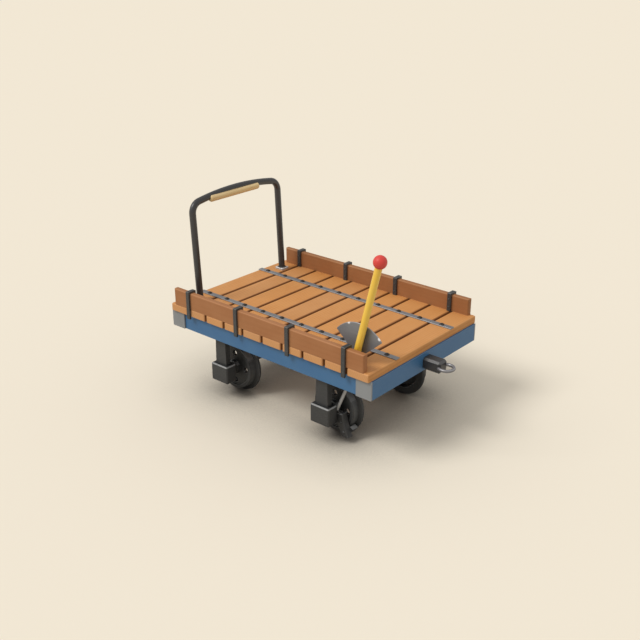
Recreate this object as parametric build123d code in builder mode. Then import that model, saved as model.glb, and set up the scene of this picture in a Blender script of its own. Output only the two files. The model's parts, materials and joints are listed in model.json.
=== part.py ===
"""A four-wheeled push handcar for a 610 mm gauge light railway.

A plank deck stands on a painted underframe, with a board along each side, a push hoop at the
rear, a drawbar at the front and a hand lever that swings a brake shoe onto the front right wheel.
Millimetres, +X towards the drawbar, +Y to the left, +Z up, with the floor at Z 0.
"""
import os
from math import cos, radians, sin, sqrt

from build123d import *

# ---- wheels and axles -------------------------------------------------------------------
track_gauge = 610.0
gauge_play = 3.0             # between each flange and its rail
wheelbase = 770.0
tread_radius = 137.0
tread_width = 44.0
tread_taper = 1.5            # the tread is this much smaller at its outer edge
flange_height = 26.0
flange_thickness = 26.0
flange_root_round = 6.0
flange_crown = 8.0           # of the flange's rounded top below its full height, at its back
rim_bevel = 2.0              # at the tread's outer corner
rim_depth = 20.0             # radial, inside the tread
face_recess = 9.0            # of the web below the rim's outer face
web_thickness = 22.0
hub_radius = 42.0
hub_inner_length = 26.0      # inboard of the flange's back
hub_proud = 16.0             # of the rim's outer face
hub_bevel = 5.0              # at both ends
casting_draft = 3.0          # that the web's hub and rim slope by
wheel_hole_radius = 18.0
wheel_hole_circle = 86.0
wheel_hole_count = 4
axle_radius = 25.0
wheel_seat_radius = 23.0
journal_radius = 17.0
journal_clearance = 0.05
journal_end_gap = 7.0
journal_bevel = 2.0

# ---- axle boxes and guards --------------------------------------------------------------
box_length = 130.0
box_depth = 71.0
box_height = 110.0
box_bevel = 6.0
box_wall = 13.0              # between the bore's end and the outer face
wheel_to_box = 51.0          # from the wheel's outer face to the box
guard_width_top = 76.0
guard_width_foot = 84.0
guard_front_inset = 20.0     # behind the box's outer face
guard_depth = 35.0
guard_tongue_height = 85.0   # up the inside of the sill
guard_tongue_thickness = 20.0
guard_edge = 2.5

# ---- underframe -------------------------------------------------------------------------
axle_to_sill = 218.0         # from the axle's centre up to the sill
sill_height = 105.0
sill_thickness = 45.0
frame_width = 956.0
headstock_thickness = 100.0
headstock_overrun = 10.0     # past the deck's end
beam_edge = 2.0
cap_thickness = 8.0
cap_corner = 3.0
bearer_width = 50.0
bearer_height = 80.0

# ---- deck and sides ---------------------------------------------------------------------
deck_width = 1000.0
plank_count = 10
plank_width = 138.85
plank_gap = 9.0
plank_thickness = 43.0
plank_round = 8.0
board_height = 99.0
board_thickness = 35.0
board_setback = 32.5         # of its end from the deck's end
board_round = 8.0
strap_spread = 510.0         # between the two straps' middles
strap_width = 34.0
strap_thickness = 6.0
strap_edge = 1.5
rivet_radius = 15.0
rivet_height = 9.0
stanchion_width = 24.0
stanchion_thickness = 11.0
stanchion_drop = 58.0        # of the outer leg below the deck's top
stanchion_round = 4.0
stanchion_inner_pitch = 384.0
stanchion_outer_pitch = 1156.0

# ---- push handle ------------------------------------------------------------------------
handle_setback = 95.5        # of the feet from the deck's rear end
handle_width = 714.0         # between the legs' middles
handle_rise = 612.0
handle_lean = 2.9            # degrees, backwards
handle_tube_radius = 20.0
handle_corner_radius = 66.0
handle_crown_radius = 1850.0
foot_size = 60.0
foot_thickness = 13.0
foot_edge = 2.0
grip_length = 400.0
grip_radius = 20.5
grip_drop = 24.0             # of its middle below the crown of the hoop
grip_forward = 12.0          # of its middle ahead of the hoop
grip_shift = -27.0           # of its middle to the left of the car's middle
grip_end_round = 12.0

# ---- brake ------------------------------------------------------------------------------
pivot_setback = 139.75       # of the lever's pivot from the deck's front end
pivot_height = 22.0          # above the deck
lever_angle = 14.2           # degrees from upright, forwards, with the brake on
lever_length = 571.0
lever_radius = 19.0
lever_board_gap = 16.0
knob_radius = 35.0
knob_seat = 12.0             # of the lever in the knob
shaft_radius = 10.0
shaft_clearance = 0.05
lever_hub_radius = 21.0
hub_overhang = 1.0           # of each hub past its bar, at both ends
hub_gap = 0.5
arm_radius = 9.0
arm_hub_radius = 17.0
eye_radius = 14.0            # of the lug that takes the arm's end
eye_run = 51.0               # of the lug ahead of the axle
eye_rise = 11.0              # of the lug above the axle
arm_seat = 8.0               # of the arm past the lug's middle
quadrant_thickness = 7.0
quadrant_gap = 5.0           # between the quadrant and the lever
quadrant_radius = 190.0
quadrant_half_angle = 50.0
quadrant_tip_round = 7.0
quadrant_edge = 1.5
quadrant_neck = 36.0         # height of its straight neck above the deck
quadrant_throat_round = 22.0 # where the neck opens out
quadrant_boss_length = 16.5
quadrant_foot_width = 95.0
quadrant_foot_shift = -27.5  # of the foot's middle from the pivot
quadrant_foot_depth = 44.0
quadrant_boss_radius = 18.0
quadrant_base = 44.0         # across its sides where it meets the deck
slot_gap = 6.0               # between the arm and the slot in the deck
slot_length = 62.0
slot_shift = -13.5           # of the slot's middle from the pivot
wheel_to_shoe = 5.5
box_to_shoe = 5.5
shoe_edge = 2.0
pad_gap = 5.5                # from the tread and from the flange
pad_thickness = 24.0
pad_from = -50.0             # degrees round the axle
pad_to = -32.0

# ---- drawbar ----------------------------------------------------------------------------
drawbar_length = 108.0
drawbar_width = 74.0
drawbar_height = 67.0
drawbar_drop = 6.5           # of its middle below the headstock's
drawbar_bevel = 11.0
ring_radius = 41.0
ring_wire = 9.0
ring_seat = 33.0             # of the ring in the drawbar's nose
ring_clearance = 0.2

# ---- levels and reaches worked out from the sizes above ----------------------------------
flange_radius = tread_radius + flange_height
axle_z = flange_radius
sill_bottom = axle_z + axle_to_sill
sill_top = sill_bottom + sill_height
deck_z = sill_top + plank_thickness
plank_pitch = plank_width + plank_gap
deck_length = plank_count * plank_pitch - plank_gap
headstock_face = deck_length / 2 + headstock_overrun
ring_reach = headstock_face + drawbar_length - ring_seat + 2 * (ring_radius + ring_wire)
deck_x = (headstock_face - ring_reach) / 2    # the origin is at the middle of the whole length
half_deck = deck_width / 2
half_frame = frame_width / 2
board_inner = half_deck - board_thickness
flange_face = track_gauge / 2 - gauge_play
flange_back = flange_face - flange_thickness
wheel_face = flange_face + tread_width
box_inner = wheel_face + wheel_to_box
box_outer = box_inner + box_depth
hub_outer = wheel_face + hub_proud
sill_inner = half_frame - sill_thickness
guard_outer = box_outer - guard_front_inset
reach_inner = min(guard_outer - guard_depth, sill_inner - guard_tongue_thickness)
reach_outer = max(guard_outer, sill_inner)    # each guard reaches over to its sill
box_top = axle_z + box_height / 2
bore_end = box_outer - box_wall
journal_end = bore_end - journal_end_gap
cap_face = half_frame + cap_thickness

ENDS = (("front", 1), ("rear", -1))      # name, direction along X
SIDES = (("left", 1), ("right", -1))     # name, direction along Y

os.makedirs("parts", exist_ok=True)


def save(solid, node):
    """Name a finished piece and write it as its own file."""
    solid.label = node
    export_step(solid, f"parts/{node}.step")


def side_plane(x, y, z):
    """Sketch plane across the car's side: local X is +X, local Y is +Z, it faces the right."""
    return Plane(origin=(x, y, z), x_dir=(1, 0, 0), z_dir=(0, -1, 0))


# ==== underframe =========================================================================
for side, s in SIDES:
    with BuildPart() as sill:
        with Locations((deck_x, s * (half_frame + sill_inner) / 2, (sill_bottom + sill_top) / 2)):
            Box(2 * (headstock_face - headstock_thickness), sill_thickness, sill_height)
        chamfer(sill.edges().filter_by(Axis.X), beam_edge)
    save(sill.part, f"sill_{side}")

    with BuildPart() as bearer:
        with Locations((deck_x, s * strap_spread / 2, sill_top - bearer_height / 2)):
            Box(2 * (headstock_face - headstock_thickness), bearer_width, bearer_height)
        chamfer(bearer.edges().filter_by(Axis.X).group_by(Axis.Z)[0], beam_edge)
    save(bearer.part, f"bearer_{side}")

for end, e in ENDS:
    headstock_x = deck_x + e * (headstock_face - headstock_thickness / 2)
    with BuildPart() as headstock:
        with Locations((headstock_x, 0, (sill_bottom + sill_top) / 2)):
            Box(headstock_thickness, frame_width, sill_height)
        chamfer(headstock.edges().filter_by(Axis.Y), beam_edge)
    save(headstock.part, f"headstock_{end}")

    with BuildPart() as caps:
        with Locations(*[(headstock_x, s * (half_frame + cap_face) / 2, (sill_bottom + sill_top) / 2)
                         for _, s in SIDES]):
            Box(headstock_thickness, cap_thickness, sill_height)
        fillet(caps.edges().filter_by(Axis.Y), cap_corner)
    save(caps.part, f"beam_caps_{end}")

# ==== wheels, axles, boxes and guards ====================================================
rim_inner = tread_radius - rim_depth
web_outer = wheel_face - face_recess
web_inner = web_outer - web_thickness
hub_inner = flange_back - hub_inner_length
wheel_profile = (                        # distance from the car's middle, radius
    (hub_inner, wheel_seat_radius),
    (hub_outer, wheel_seat_radius),
    (hub_outer, hub_radius - hub_bevel),
    (hub_outer - hub_bevel, hub_radius),
    (web_outer, hub_radius + casting_draft),
    (web_outer, rim_inner - casting_draft),
    (wheel_face, rim_inner),
    (wheel_face, tread_radius - tread_taper - rim_bevel),
    (wheel_face - rim_bevel, tread_radius - tread_taper),
    (flange_face, tread_radius),
    (flange_face - flange_thickness / 4, flange_radius - flange_crown / 4),
    (flange_face - flange_thickness / 2, flange_radius),
    (flange_back + flange_thickness / 5, flange_radius - flange_crown / 4),
    (flange_back, flange_radius - flange_crown),
    (flange_back, rim_inner),
    (web_inner, rim_inner - casting_draft),
    (web_inner, hub_radius + casting_draft),
    (hub_inner + hub_bevel, hub_radius),
    (hub_inner, hub_radius - hub_bevel),
)

for end, e in ENDS:
    wheel_x = deck_x + e * wheelbase / 2
    axle_line = Axis((wheel_x, 0, axle_z), (0, 1, 0))

    for side, s in SIDES:
        across = Plane(origin=(wheel_x, 0, axle_z), x_dir=(0, s, 0), z_dir=(s, 0, 0))
        with BuildPart() as wheel:
            with BuildSketch(across) as section:
                with BuildLine():
                    Polyline(*wheel_profile, close=True)
                make_face()
                root_at = across.from_local_coords((flange_face, tread_radius))
                root = section.vertices().sort_by_distance(root_at)[0]
                fillet(root, flange_root_round)
            revolve(axis=axle_line)
            with BuildSketch(side_plane(wheel_x, s * web_outer, axle_z)):
                with PolarLocations(wheel_hole_circle, wheel_hole_count):
                    Circle(wheel_hole_radius)
            extrude(amount=s * web_thickness, mode=Mode.SUBTRACT)
        save(wheel.part, f"wheel_{end}_{side}")

        with BuildPart() as box:
            with Locations((wheel_x, s * (box_inner + box_outer) / 2, axle_z)):
                Box(box_length, box_depth, box_height)
            outer_face = box.faces().sort_by(Axis.Y)[-1 if s > 0 else 0]
            chamfer(outer_face.edges() + box.edges().filter_by(Axis.Y), box_bevel)
            with BuildSketch(side_plane(wheel_x, s * box_inner, axle_z)):
                Circle(journal_radius + journal_clearance)
            extrude(amount=-s * (bore_end - box_inner), mode=Mode.SUBTRACT)
        save(box.part, f"axle_box_{end}_{side}")

        with BuildPart() as guard:
            with Locations((wheel_x, s * (sill_inner - guard_tongue_thickness / 2),
                            sill_bottom + guard_tongue_height / 2)):
                Box(guard_width_top, guard_tongue_thickness, guard_tongue_height)
            chamfer(guard.edges().filter_by(Axis.Z).group_by(Axis.Y)[0 if s > 0 else -1], guard_edge)
            with BuildSketch(side_plane(wheel_x, s * reach_outer, 0)):
                with BuildLine():
                    Polyline((-guard_width_foot / 2, box_top), (guard_width_foot / 2, box_top),
                             (guard_width_top / 2, sill_bottom), (-guard_width_top / 2, sill_bottom),
                             close=True)
                make_face()
            extrude(amount=s * (reach_outer - reach_inner))
        save(guard.part, f"axle_guard_{end}_{side}")

    axle_steps = ((0, 0), (0, axle_radius), (hub_inner, axle_radius), (hub_inner, wheel_seat_radius),
                  (hub_outer, wheel_seat_radius), (hub_outer, journal_radius),
                  (journal_end - journal_bevel, journal_radius),
                  (journal_end, journal_radius - journal_bevel), (journal_end, 0))
    with BuildPart() as axle:
        with BuildSketch(Plane(origin=(wheel_x, 0, axle_z), x_dir=(0, 1, 0), z_dir=(1, 0, 0))):
            with BuildLine():
                Polyline(*axle_steps, close=True)
            make_face()
        revolve(axis=axle_line)
        mirror(about=Plane.XZ)
    save(axle.part, f"axle_{end}")

# ==== brake: where its line of pieces lies ===============================================
# Every distance named _y, _outer or _inner is to the right of the car's middle.
pivot_x = deck_x + deck_length / 2 - pivot_setback
pivot_z = deck_z + pivot_height
brake_wheel_x = deck_x + wheelbase / 2
lever_outer = board_inner - lever_board_gap
lever_inner = lever_outer - 2 * lever_radius
lever_y = lever_outer - lever_radius
quadrant_outer = lever_inner - quadrant_gap
quadrant_inner = quadrant_outer - quadrant_thickness
shoe_outer = box_inner - box_to_shoe
shoe_inner = wheel_face + wheel_to_shoe
arm_y = shoe_outer - arm_radius                  # where the arm meets the shoe
lug_inner = arm_y - arm_radius - hub_overhang
lug_outer = arm_y + arm_radius + hub_overhang
lever_hub_outer = lever_outer + hub_overhang
lever_hub_inner = lever_inner - hub_overhang
arm_hub_outer = lever_hub_inner - quadrant_boss_length - 2 * hub_gap
arm_hub_inner = arm_hub_outer - 2 * (arm_radius + hub_overhang)
arm_top_y = (arm_hub_inner + arm_hub_outer) / 2  # the arm hangs upright where this equals arm_y
arm_run = pivot_x - (brake_wheel_x + eye_run)
arm_fall = pivot_z - (axle_z + eye_rise)
arm_aside = arm_y - arm_top_y
arm_length = sqrt(arm_run**2 + arm_fall**2 + arm_aside**2) + arm_seat
arm_way = (-arm_run, -arm_aside, -arm_fall)
slot_width = 2 * (arm_radius + slot_gap)
slot_y = arm_top_y + arm_aside * (pivot_height + plank_thickness / 2) / arm_fall

# ==== deck ===============================================================================
for number in range(1, plank_count + 1):
    plank_x = deck_x - deck_length / 2 + plank_width / 2 + (number - 1) * plank_pitch
    with BuildPart() as plank:
        with Locations((plank_x, 0, deck_z - plank_thickness / 2)):
            Box(plank_width, deck_width, plank_thickness)
        fillet(plank.edges().filter_by(Axis.Z) + plank.edges().group_by(Axis.Z)[-1], plank_round)
        with Locations((pivot_x + slot_shift, -slot_y, deck_z - plank_thickness / 2)):
            Box(slot_length, slot_width, plank_thickness, mode=Mode.SUBTRACT)
    save(plank.part, f"plank_{number:02d}")

for side, s in SIDES:
    with BuildPart() as board:
        with Locations((deck_x, s * (half_deck + board_inner) / 2, deck_z + board_height / 2)):
            Box(deck_length - 2 * board_setback, board_thickness, board_height)
        fillet(board.edges().filter_by(Axis.X).group_by(Axis.Z)[-1] + board.edges().filter_by(Axis.Z),
               board_round)
    save(board.part, f"side_board_{side}")

    top = deck_z + board_height + stanchion_thickness
    # a deck narrower than the frame has its stanchions standing on the frame
    foot = deck_z - stanchion_drop if half_deck >= half_frame else sill_top
    outer = half_deck + stanchion_thickness
    inner = board_inner - stanchion_thickness
    board_top = deck_z + board_height
    pitches = (-stanchion_outer_pitch, -stanchion_inner_pitch, stanchion_inner_pitch, stanchion_outer_pitch)
    with BuildPart() as stanchions:
        for pitch in pitches:
            section_x = deck_x + pitch / 2 - stanchion_width / 2
            with BuildSketch(Plane(origin=(section_x, 0, 0), x_dir=(0, s, 0), z_dir=(s, 0, 0))):
                with BuildLine():
                    Polyline((outer, foot), (outer, top), (inner, top), (inner, deck_z),
                             (board_inner, deck_z), (board_inner, board_top),
                             (half_deck, board_top), (half_deck, foot), close=True)
                make_face()
            extrude(amount=s * stanchion_width)
        fillet(stanchions.edges().filter_by(Axis.X).group_by(Axis.Z)[-1], stanchion_round)
    save(stanchions.part, f"stanchions_{side}")

    with BuildPart() as strap:
        with Locations((deck_x, s * strap_spread / 2, deck_z + strap_thickness / 2)):
            Box(deck_length, strap_width, strap_thickness)
        chamfer(strap.edges().filter_by(Axis.X).group_by(Axis.Z)[-1], strap_edge)
    save(strap.part, f"deck_strap_{side}")

    dome_radius = (rivet_radius**2 + rivet_height**2) / (2 * rivet_height)
    with BuildPart() as rivets:
        for number in range(plank_count):
            rivet_x = deck_x - deck_length / 2 + plank_width / 2 + number * plank_pitch
            rivet_y = s * strap_spread / 2
            rivet_z = deck_z + strap_thickness
            with BuildSketch(Plane(origin=(rivet_x, rivet_y, rivet_z), x_dir=(1, 0, 0), z_dir=(0, -1, 0))):
                with BuildLine():
                    Line((0, 0), (rivet_radius, 0))
                    RadiusArc((rivet_radius, 0), (0, rivet_height), -dome_radius)
                    Line((0, rivet_height), (0, 0))
                make_face()
            revolve(axis=Axis((rivet_x, rivet_y, rivet_z), (0, 0, 1)))
    save(rivets.part, f"strap_rivets_{side}")

# ==== push handle ========================================================================
handle_x = deck_x - deck_length / 2 + handle_setback
lean = radians(handle_lean)
hoop_plane = Plane(origin=(handle_x, 0, deck_z), x_dir=(0, 1, 0), z_dir=(cos(lean), 0, sin(lean)))
leg = handle_width / 2
corner_y = leg - handle_corner_radius
crown_z = handle_rise - handle_crown_radius
corner_z = crown_z + sqrt((handle_crown_radius - handle_corner_radius)**2 - corner_y**2)
reach = handle_crown_radius / (handle_crown_radius - handle_corner_radius)
shoulder = (corner_y * reach, crown_z + (corner_z - crown_z) * reach)
bend = (corner_y + handle_corner_radius * sin(radians(45)),
        corner_z + handle_corner_radius * cos(radians(45)))

with BuildPart() as hoop:
    with BuildLine(hoop_plane) as hoop_path:
        Line((-leg, foot_thickness), (-leg, corner_z))
        ThreePointArc((-leg, corner_z), (-bend[0], bend[1]), (-shoulder[0], shoulder[1]))
        ThreePointArc((-shoulder[0], shoulder[1]), (0, handle_rise), shoulder)
        ThreePointArc(shoulder, bend, (leg, corner_z))
        Line((leg, corner_z), (leg, foot_thickness))
    with BuildSketch(Plane(origin=hoop_path.line @ 0, z_dir=hoop_path.line % 0)):
        Circle(handle_tube_radius)
    sweep(path=hoop_path.line)
save(hoop.part, "push_handle")

with BuildPart() as feet:
    with Locations(*[(handle_x, s * leg, deck_z + foot_thickness / 2) for _, s in SIDES]):
        Box(foot_size, foot_size, foot_thickness)
    chamfer(feet.faces().group_by(Axis.Z)[-1].edges(), foot_edge)
    add(hoop.part, mode=Mode.SUBTRACT)
save(feet.part, "handle_feet")

with BuildPart() as grip:
    grip_at = (grip_shift - grip_length / 2, handle_rise - grip_drop, grip_forward)
    grip_start = hoop_plane.from_local_coords(grip_at)
    with BuildSketch(Plane(origin=grip_start, x_dir=(1, 0, 0), z_dir=(0, 1, 0))):
        Circle(grip_radius)
    extrude(amount=grip_length)
    fillet(grip.edges(), grip_end_round)
    add(hoop.part, mode=Mode.SUBTRACT)
save(grip.part, "handle_grip")

# ==== brake ==============================================================================
tip_x = quadrant_radius * sin(radians(quadrant_half_angle))
tip_z = quadrant_radius * cos(radians(quadrant_half_angle))
throat_z = quadrant_neck - pivot_height
with BuildPart() as quadrant:
    with BuildSketch(side_plane(pivot_x, -quadrant_inner, pivot_z)) as plate:
        with BuildLine():
            Line((-quadrant_base / 2, -pivot_height), (-quadrant_base / 2, throat_z))
            Line((-quadrant_base / 2, throat_z), (-tip_x, tip_z))
            ThreePointArc((-tip_x, tip_z), (0, quadrant_radius), (tip_x, tip_z))
            Line((tip_x, tip_z), (quadrant_base / 2, throat_z))
            Line((quadrant_base / 2, throat_z), (quadrant_base / 2, -pivot_height))
            Line((quadrant_base / 2, -pivot_height), (-quadrant_base / 2, -pivot_height))
        make_face()
        fillet(plate.vertices().group_by(Axis.Y)[1], quadrant_throat_round)
        fillet(plate.vertices().group_by(Axis.Y)[-1], quadrant_tip_round)
    extrude(amount=quadrant_thickness)
    rim = quadrant.faces().sort_by(Axis.Y)
    chamfer(rim[0].edges().group_by(Axis.Z)[-1] + rim[-1].edges().group_by(Axis.Z)[-1], quadrant_edge)
    with Locations((pivot_x + quadrant_foot_shift, -quadrant_inner + quadrant_foot_depth / 2,
                    deck_z + quadrant_thickness / 2)):
        Box(quadrant_foot_width, quadrant_foot_depth, quadrant_thickness)
    with BuildSketch(side_plane(pivot_x, -arm_hub_outer - hub_gap, pivot_z)):
        Circle(quadrant_boss_radius)
    extrude(amount=quadrant_boss_length)
    with BuildSketch(side_plane(pivot_x, -arm_hub_outer - hub_gap, pivot_z)):
        Circle(shaft_radius + shaft_clearance)
    extrude(amount=quadrant_boss_length, mode=Mode.SUBTRACT)
    with Locations((pivot_x + slot_shift, -slot_y, deck_z + quadrant_thickness / 2)):
        Box(slot_length, slot_width, quadrant_thickness, mode=Mode.SUBTRACT)
save(quadrant.part, "brake_quadrant")

lever_tilt = radians(lever_angle)
lever_way = (sin(lever_tilt), 0, cos(lever_tilt))
knob_at = (pivot_x + lever_length * lever_way[0], -lever_y, pivot_z + lever_length * lever_way[2])
with BuildPart() as lever:
    with BuildSketch(side_plane(pivot_x, -lever_hub_inner, pivot_z)):
        Circle(lever_hub_radius)
    extrude(amount=lever_hub_outer - lever_hub_inner)
    with BuildSketch(Plane(origin=(pivot_x, -lever_y, pivot_z), x_dir=(0, 1, 0), z_dir=lever_way)):
        Circle(lever_radius)
    extrude(amount=lever_length - knob_radius + knob_seat)
    with BuildSketch(side_plane(pivot_x, -lever_hub_inner, pivot_z)):
        Circle(shaft_radius)
    extrude(amount=lever_hub_outer - lever_hub_inner, mode=Mode.SUBTRACT)
save(lever.part, "brake_lever")

with BuildPart() as knob:
    with Locations(knob_at):
        Sphere(knob_radius)
    add(lever.part, mode=Mode.SUBTRACT)
save(knob.part, "brake_knob")

# corners of the shoe's cheek, from the axle's centre along X and up
cheek_top_back = (56, 4)
cheek_middle_back = (66, -55)
cheek_bottom_back = (97, -126)
cheek_bottom_front = (139, -124)
cheek_middle_front = (110, -50)
cheek_top_front = (97, 9)

with BuildPart() as arm:
    with BuildSketch(side_plane(pivot_x, -arm_hub_inner, pivot_z)):
        Circle(shaft_radius)
    extrude(amount=lever_hub_outer - arm_hub_inner)
    with BuildSketch(side_plane(pivot_x, -arm_hub_inner, pivot_z)):
        Circle(arm_hub_radius)
    extrude(amount=arm_hub_outer - arm_hub_inner)
    with BuildSketch(Plane(origin=(pivot_x, -arm_top_y, pivot_z), x_dir=(1, 0, 0), z_dir=arm_way)):
        Circle(arm_radius)
    extrude(amount=arm_length)
save(arm.part, "brake_arm")

tread_gap_radius = tread_radius + pad_gap
pad_back = tread_gap_radius + pad_thickness
pad_middle = (pad_from + pad_to) / 2
pad_end = flange_face + pad_gap


def round_axle(radius, angle):
    """Point at this radius and angle round the axle, as (X, Z) from its centre."""
    return (radius * cos(radians(angle)), radius * sin(radians(angle)))


with BuildPart() as shoe:
    with BuildSketch(side_plane(brake_wheel_x, -shoe_inner, axle_z)):
        with BuildLine():
            ThreePointArc(cheek_top_back, cheek_middle_back, cheek_bottom_back)
            Line(cheek_bottom_back, cheek_bottom_front)
            ThreePointArc(cheek_bottom_front, cheek_middle_front, cheek_top_front)
            Line(cheek_top_front, cheek_top_back)
        make_face()
    extrude(amount=shoe_outer - shoe_inner)
    chamfer(shoe.faces().sort_by(Axis.Y)[0].edges(), shoe_edge)
    with BuildSketch(side_plane(brake_wheel_x, -lug_inner, axle_z)):
        with BuildLine():
            Polyline((eye_run, eye_rise - eye_radius), cheek_middle_back, cheek_top_front,
                     (eye_run, eye_rise + eye_radius), close=True)
        make_face()
        with Locations((eye_run, eye_rise)):
            Circle(eye_radius)
    extrude(amount=lug_outer - lug_inner - shoe_edge)
    with BuildSketch(side_plane(brake_wheel_x, -pad_end, axle_z)):
        with BuildLine():
            ThreePointArc(round_axle(tread_gap_radius, pad_from), round_axle(tread_gap_radius, pad_middle),
                          round_axle(tread_gap_radius, pad_to))
            Line(round_axle(tread_gap_radius, pad_to), round_axle(pad_back, pad_to))
            ThreePointArc(round_axle(pad_back, pad_to), round_axle(pad_back, pad_middle),
                          round_axle(pad_back, pad_from))
            Line(round_axle(pad_back, pad_from), round_axle(tread_gap_radius, pad_from))
        make_face()
    extrude(amount=shoe_inner - pad_end)
    add(arm.part, mode=Mode.SUBTRACT)
save(shoe.part, "brake_shoe")

# ==== drawbar ============================================================================
drawbar_x = deck_x + headstock_face
drawbar_z = (sill_bottom + sill_top) / 2 - drawbar_drop
ring_x = drawbar_x + drawbar_length - ring_seat + ring_radius + ring_wire
with BuildPart() as drawbar:
    with Locations((drawbar_x + drawbar_length / 2, 0, drawbar_z)):
        Box(drawbar_length, drawbar_width, drawbar_height)
    nose = drawbar.faces().sort_by(Axis.X)[-1]
    chamfer(drawbar.edges().filter_by(Axis.X) + nose.edges(), drawbar_bevel)
    with Locations((ring_x, 0, drawbar_z)):
        Torus(ring_radius, ring_wire + ring_clearance, mode=Mode.SUBTRACT)
save(drawbar.part, "drawbar")

with BuildPart() as ring:
    with Locations((ring_x, 0, drawbar_z)):
        Torus(ring_radius, ring_wire)
save(ring.part, "drawbar_ring")
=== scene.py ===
"""Dresses the railway handcar: finishes, fastenings, studio light and camera."""

import json
import logging
import math
from dataclasses import dataclass
from enum import Enum
from typing import Any, ClassVar, Mapping, Sequence

import bmesh
import bpy
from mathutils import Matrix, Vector

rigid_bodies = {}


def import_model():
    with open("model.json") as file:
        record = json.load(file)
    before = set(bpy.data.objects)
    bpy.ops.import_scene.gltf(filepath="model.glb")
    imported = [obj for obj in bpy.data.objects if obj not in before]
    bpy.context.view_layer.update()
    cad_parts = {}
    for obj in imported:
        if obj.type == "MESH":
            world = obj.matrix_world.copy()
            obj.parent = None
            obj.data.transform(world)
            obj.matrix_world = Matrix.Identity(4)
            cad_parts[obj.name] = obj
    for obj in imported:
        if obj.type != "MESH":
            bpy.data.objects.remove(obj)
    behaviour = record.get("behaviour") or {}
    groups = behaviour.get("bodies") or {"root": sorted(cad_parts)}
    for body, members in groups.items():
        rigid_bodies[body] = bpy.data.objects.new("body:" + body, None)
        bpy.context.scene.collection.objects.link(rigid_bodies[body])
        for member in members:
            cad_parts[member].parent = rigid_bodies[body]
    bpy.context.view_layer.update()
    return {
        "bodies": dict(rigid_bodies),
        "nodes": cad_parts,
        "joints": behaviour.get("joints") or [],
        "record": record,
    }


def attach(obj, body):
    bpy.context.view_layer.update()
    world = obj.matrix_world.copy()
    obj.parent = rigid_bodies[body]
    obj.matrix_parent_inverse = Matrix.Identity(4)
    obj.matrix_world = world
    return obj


LOG = logging.getLogger("handcar")
SIDES = {"left": 1, "right": -1}  # Where each side lies along Y
ENDS = (1, -1)  # The front and the rear, along X
PAIR = (-1, 1)  # Both ways from a middle
BEVEL_SAMPLES = 4
AO_SAMPLES = 8

Point = tuple[float, float, float]
Spots = list[tuple[Point, Point]]
Palette = dict[str, bpy.types.Material]
Node = bpy.types.Node
Socket = bpy.types.NodeSocket


# ------ Small tools ------
def rgb(code: str) -> tuple[float, ...]:
    """Turn a written colour, a hash and six hexadecimal digits, into the linear one that shaders use."""
    parts = (int(code[i:i + 2], 16) / 255 for i in (1, 3, 5))
    return (*(c / 12.92 if c <= 0.04045 else ((c + 0.055) / 1.055) ** 2.4 for c in parts), 1.0)


def link(name: str, data: Any) -> bpy.types.Object:
    """Make an object of a mesh, a light or a camera, and put it into the scene.

    Args:
        name: Name of the object.
        data: What it shows.

    Returns:
        The new object.
    """
    piece = bpy.data.objects.new(name, data)
    bpy.context.scene.collection.objects.link(piece)
    return piece


def ready(piece: bpy.types.Object, slot: str, body: str) -> None:
    """Args:
        piece: The finished piece.
        slot: The record's material slot that its finish comes from; not used.
        body: Body that it rides on.
    """
    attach(piece, body)
    LOG.info("%s: %d faces on %s", piece.name, len(piece.data.polygons), body)


def as_mesh(bm: bmesh.types.BMesh, name: str) -> bpy.types.Mesh:
    """Turn the faces outwards and write them to a mesh.

    Args:
        bm: The modelled faces, which are freed.
        name: Name of the mesh.

    Returns:
        The mesh.
    """
    bmesh.ops.recalc_face_normals(bm, faces=bm.faces)
    mesh = bpy.data.meshes.new(name)
    bm.to_mesh(mesh)
    bm.free()
    return mesh


class Axis(Enum):
    """The way that a grain or a brushing runs, as the order of coordinates that puts it first."""

    X = (0, 1, 2)
    Y = (1, 0, 2)
    Z = (2, 0, 1)


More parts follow.
